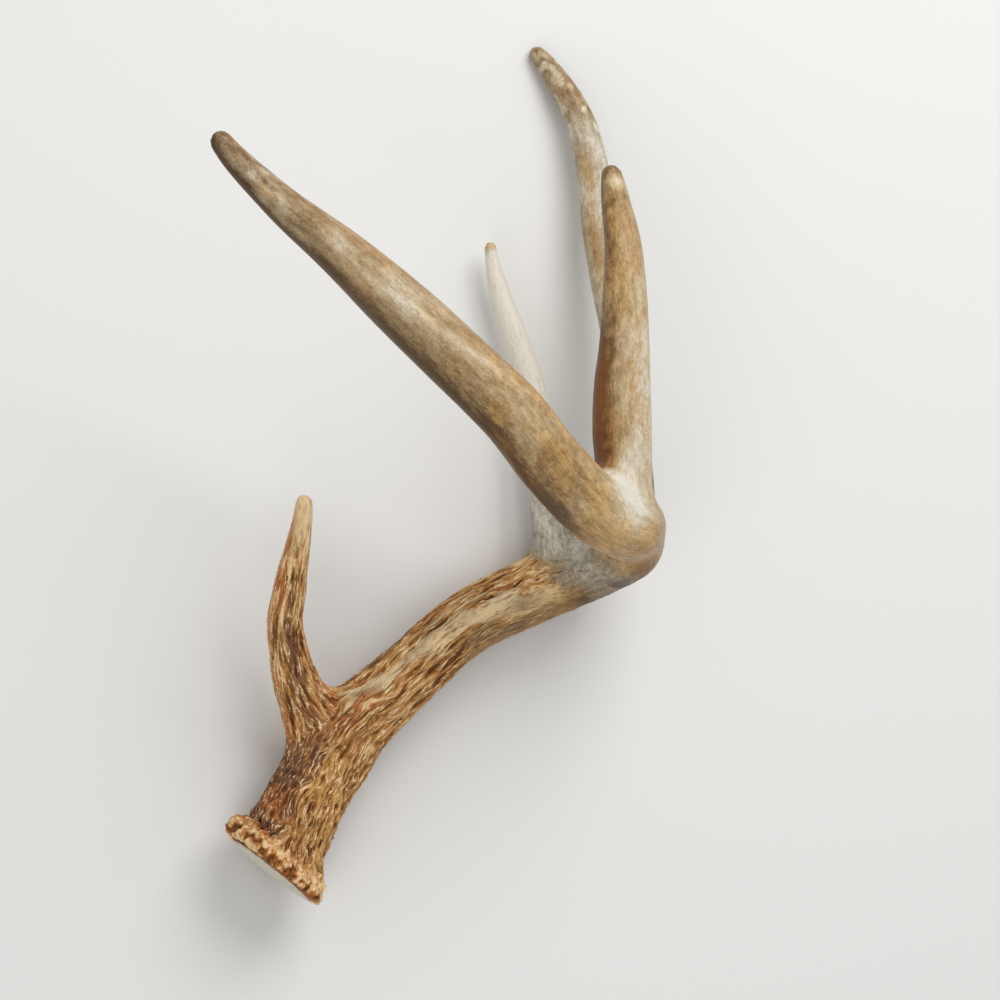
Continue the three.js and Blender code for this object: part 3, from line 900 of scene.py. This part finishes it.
# The dark olive that the stain mask reaches: real stains, and painted shade.
OLIVE_STAIN_AND_SHADE = linear(84, 58, 28)
TAN_BONE = linear(160, 130, 86)
BEIGE_BONE = linear(192, 168, 128)
GREY_BONE = linear(150, 144, 126)
PALE_BONE = linear(221, 214, 199)
SEAL_GREY = linear(200, 194, 172)
SEAL_PALE = linear(234, 230, 214)
PIT_BROWN = linear(96, 60, 26)
GOLD_SHADOW = linear(136, 96, 48)
GOLD_BONE = linear(198, 158, 100)
GOLD_LIGHT = linear(232, 196, 136)
BONE_ROUGHNESS = 0.42
BARK_ROUGHNESS = 0.66
BONE_SPECULAR = 0.28
BUMP_DEPTH = 0.0009


def bone_material():
    """One material for all the pieces, which the masks turn from bark to smooth bone."""
    material = bpy.data.materials.new("bone")
    material.use_nodes = True
    nodes = Nodes(material.node_tree)
    shader = material.node_tree.nodes["Principled BSDF"]

    mask = {name: nodes.attribute(name) for name in MASKS + ("crest", "ring", "seal")}
    streak = grained_noise(nodes, 1.2, 12.0, 4.0, 0.6)
    wide_streak = grained_noise(nodes, 3.6, 26.0, 3.0, 0.55)
    speck = grained_noise(nodes, 0.8, 1.6, 2.0, 0.6)
    mottle = grained_noise(nodes, 2.6, 5.0, 4.0, 0.6)
    pore = grained_noise(nodes, 1.0, 5.5, 2.0, 0.5)
    thread = grained_noise(nodes, 1.9, 18.0, 2.0, 0.5)
    off_thread = nodes.math("ABSOLUTE", nodes.math("SUBTRACT", thread, 0.5))
    threads = nodes.remap(off_thread, 0.004, 0.03, 1.0, 0.0)
    furrows = nodes.remap(grained_noise(nodes, 1.4, 11.0, 2.0, 0.5), 0.55, 0.68)

    grained = nodes.math("MULTIPLY", mask["crest"], 0.68)
    grained = nodes.math("ADD", grained, nodes.remap(streak, 0.3, 0.7, -0.4, 0.3))
    grained = nodes.math("ADD", grained, nodes.math("MULTIPLY", threads, 1.25))
    grained = nodes.math("SUBTRACT", grained, nodes.math("MULTIPLY", furrows, 0.8))
    grained = nodes.math("SUBTRACT", grained, 0.06)
    crest = nodes.blend(mask["ring"], grained, mask["crest"])
    crest = nodes.math("ADD", crest, nodes.remap(speck, 0.3, 0.7, -0.2, 0.2))
    crest = nodes.remap(crest, -1.2, 1.4)
    bark = nodes.ramp(crest, (0.05, DARK_BARK), (0.28, BROWN_BARK), (0.54, TAN_BARK), (0.76, LIGHT_BARK),
                      (0.94, CREAM_CREST))
    golden = nodes.ramp(crest, (0.04, DARK_BARK), (0.22, BROWN_BARK), (0.46, AMBER_BARK), (0.72, LIGHT_BARK),
                        (0.92, CREAM_CREST))
    dark = nodes.ramp(crest, (0.03, DARK_BARK), (0.42, DUSK), (0.66, MAUVE_BARK), (0.93, CREAM_CREST))
    red = nodes.ramp(crest, (0.04, DARK_BARK), (0.34, RUST), (0.62, ORANGE_BARK), (0.92, CREAM_CREST))
    gold = nodes.remap(nodes.math("ADD", mask["gold"], nodes.remap(mottle, 0.3, 0.7, -0.18, 0.18)), 0.1, 0.9)
    bark = nodes.mix(gold, bark, golden)
    bark = nodes.mix(nodes.remap(mask["dusk"], 0.15, 0.85), bark, dark)
    bark = nodes.mix(nodes.remap(mask["rust"], 0.1, 0.9), bark, red)

    tone = nodes.math("SUBTRACT", mask["pale"], mask["stain_and_shade"])
    for noise, reach in ((wide_streak, 0.1), (streak, 0.04), (mottle, 0.14), (speck, 0.12)):
        tone = nodes.math("ADD", tone, nodes.remap(noise, 0.3, 0.7, -reach, reach))
    tone = nodes.remap(tone, -1.0, 1.2)
    warm = nodes.ramp(tone, (0.05, OLIVE_STAIN_AND_SHADE), (0.36, TAN_BONE), (0.66, BEIGE_BONE), (0.95, PALE_BONE))
    cool = nodes.ramp(tone, (0.05, OLIVE_STAIN_AND_SHADE), (0.45, GREY_BONE), (0.85, PALE_BONE))
    amber = nodes.ramp(tone, (0.08, GOLD_SHADOW), (0.45, GOLD_BONE), (0.8, GOLD_LIGHT))
    smooth = nodes.mix(mask["warm"], cool, warm)
    smooth = nodes.mix(nodes.math("MULTIPLY", gold, 0.75), smooth, amber)
    red_bone = nodes.mix(streak, RUST, ORANGE_BARK)
    smooth = nodes.mix(nodes.remap(mask["rust"], 0.1, 1.2, 0.0, 0.7), smooth, red_bone)
    pits = nodes.remap(pore, 0.58, 0.68)
    pits = nodes.math("MULTIPLY", pits, nodes.blend(mask["fading"], 0.22, 0.6))
    smooth = nodes.mix(pits, smooth, PIT_BROWN)

    edge = nodes.math("ADD", mask["bark"], nodes.remap(streak, 0.3, 0.7, -0.35, 0.35))
    covered = nodes.remap(edge, 0.35, 0.65)
    colour = nodes.mix(covered, smooth, bark)
    colour = nodes.mix(mask["seal"], colour, nodes.mix(speck, SEAL_GREY, SEAL_PALE))
    nodes.put(colour, shader.inputs["Base Color"])

    rough = nodes.blend(covered, BONE_ROUGHNESS, BARK_ROUGHNESS)
    rough = nodes.math("ADD", rough, nodes.remap(streak, 0.2, 0.8, -0.1, 0.1))
    nodes.put(rough, shader.inputs["Roughness"])
    shader.inputs["Specular IOR Level"].default_value = BONE_SPECULAR

    height = nodes.math("MULTIPLY", streak, nodes.blend(covered, 0.07, 0.7))
    height = nodes.math("ADD", height, nodes.math("MULTIPLY", speck, nodes.blend(covered, 0.06, 0.3)))
    height = nodes.math("SUBTRACT", height, nodes.math("MULTIPLY", pits, 0.35))
    relief = nodes.math("SUBTRACT", threads, furrows)
    height = nodes.math("ADD", height, nodes.math("MULTIPLY", relief, nodes.blend(covered, 0.0, 0.35)))
    bump = nodes.new("ShaderNodeBump", {"Height": height, "Strength": 0.8, "Distance": BUMP_DEPTH})
    nodes.put(bump.outputs["Normal"], shader.inputs["Normal"])
    return material


# ---------------------------------------------------------------- the pieces


def place(points):
    """From the growth frame in mm to the part's frame in metres."""
    return (points @ np.array(REST).T + np.array(REST_SHIFT)) * MM


def add_attribute(mesh, name, kind, values):
    key = "vector" if kind == "FLOAT_VECTOR" else "value"
    mesh.attributes.new(name, kind, "POINT").data.foreach_set(key, np.ravel(values).astype(np.float32))


def cap(faces, points):
    """Closes a piece where its neighbours were: the middle of each open loop, and the fans to it."""
    sides = dict.fromkeys(edge for face in faces for edge in edges_of(face))
    onward = {b: a for a, b in sides if (b, a) not in sides}
    extra, fans = [], []
    while onward:
        start, loop = next(iter(onward)), []
        here = start
        while here in onward:
            loop.append(here)
            here = onward.pop(here)
        middle = len(points) + len(extra)
        extra.append(points[loop].mean(axis=0))
        fans += [(a, b, middle) for a, b in edges_of(loop)]
    return extra, fans


def make_piece(skin, index, material):
    """Cuts one branch out of the skin. A face shared half and half by the beam and a tine is the beam's."""
    shares = np.array([np.mean([skin.owner[i] == index for i in face]) for face in skin.faces])
    owned = shares > 0.5 if index else shares >= 0.5
    own = [face for face, mine in zip(skin.faces, owned) if mine]
    used = sorted({i for face in own for i in face})
    place_of = {old: new for new, old in enumerate(used)}
    faces = [tuple(place_of[i] for i in face) for face in own]
    points = skin.points[used]
    extra, fans = cap(faces, points)
    padding = len(extra)
    points = np.vstack([points, *extra])
    mesh = bpy.data.meshes.new(NODE_NAMES[index])
    mesh.from_pydata(place(points).tolist(), [], faces + fans)
    values = dict(skin.masks, crest=skin.crest, ring=skin.ring, seal=skin.seal, tine_share=skin.share)
    for name, value in values.items():
        add_attribute(mesh, name, "FLOAT", np.r_[value[used], np.zeros(padding)])
    for name, value in (("beam_grain", skin.beam_grain), ("tine_grain", skin.tine_grain)):
        add_attribute(mesh, name, "FLOAT_VECTOR", np.vstack([value[used], np.zeros((padding, 3))]))
    normals = np.vstack([skin.normals[used], np.tile((0.0, 0.0, 1.0), (padding, 1))]) @ np.array(REST).T
    mesh.polygons.foreach_set("use_smooth", [True] * len(mesh.polygons))
    mesh.normals_split_custom_set_from_vertices(normals.tolist())
    mesh.materials.append(material)
    piece = linked("bone_" + NODE_NAMES[index], mesh)
    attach(piece, "root")
    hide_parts(NODE_NAMES[index])


# ---------------------------------------------------------------- floor, light and camera

FLOOR_REACH = 4.0
FLOOR_COLOUR = linear(226, 225, 222)
WORLD_COLOUR = (0.97, 0.98, 1.0, 1.0)
WORLD_STRENGTH = 0.5
# Each light's name, the way to it from the antler, distance and width in metres, and power in watts.
LIGHTS = (("key", (-0.85, 0.55, 1.3), 1.6, 1.1, 17), ("fill", (0.9, -0.9, 1.2), 1.8, 1.4, 7))
# The camera's place in the growth frame in mm, and the width that it takes in at the burr.
VIEW_POINT = (111.5, 182.0, 1600.0)
VIEW_WIDTH = 500.0


def soft_light(name, direction, distance, size, power):
    """A square area light that shines from direction on the origin."""
    lamp = bpy.data.lights.new(name, "AREA")
    lamp.size = size
    lamp.energy = power
    light = linked(name, lamp)
    light.location = Vector(direction).normalized() * distance
    light.rotation_euler = Vector(direction).to_track_quat("Z", "Y").to_euler()


def add_floor():
    mesh = bpy.data.meshes.new("floor")
    corners = [(FLOOR_REACH * x, FLOOR_REACH * y, 0) for x, y in ((-1, -1), (1, -1), (1, 1), (-1, 1))]
    mesh.from_pydata(corners, [], [(0, 1, 2, 3)])
    floor = linked("floor", mesh)
    material = bpy.data.materials.new("pale_floor")
    material.use_nodes = True
    shader = material.node_tree.nodes["Principled BSDF"]
    shader.inputs["Base Color"].default_value = FLOOR_COLOUR
    shader.inputs["Roughness"].default_value = 0.8
    mesh.materials.append(material)


def add_world():
    world = bpy.data.worlds.new("studio")
    world.use_nodes = True
    background = world.node_tree.nodes["Background"]
    background.inputs["Color"].default_value = WORLD_COLOUR
    background.inputs["Strength"].default_value = WORLD_STRENGTH
    bpy.context.scene.world = world


def add_camera():
    """Looks back along the growth frame's z, with its y upwards."""
    data = bpy.data.cameras.new("camera")
    data.lens = data.sensor_width * VIEW_POINT[2] / VIEW_WIDTH
    camera = linked("camera", data)
    eye = Vector(place(np.array([VIEW_POINT]))[0])
    camera.matrix_world = Matrix.Translation(eye) @ REST.to_4x4()
    bpy.context.scene.camera = camera


add_floor()
add_world()
for light_settings in LIGHTS:
    soft_light(*light_settings)
add_camera()

whole = Skin()
bone = bone_material()
for number in range(len(NODE_NAMES)):
    make_piece(whole, number, bone)

bpy.context.view_layer.update()
bpy.context.scene.view_settings.view_transform = "Standard"
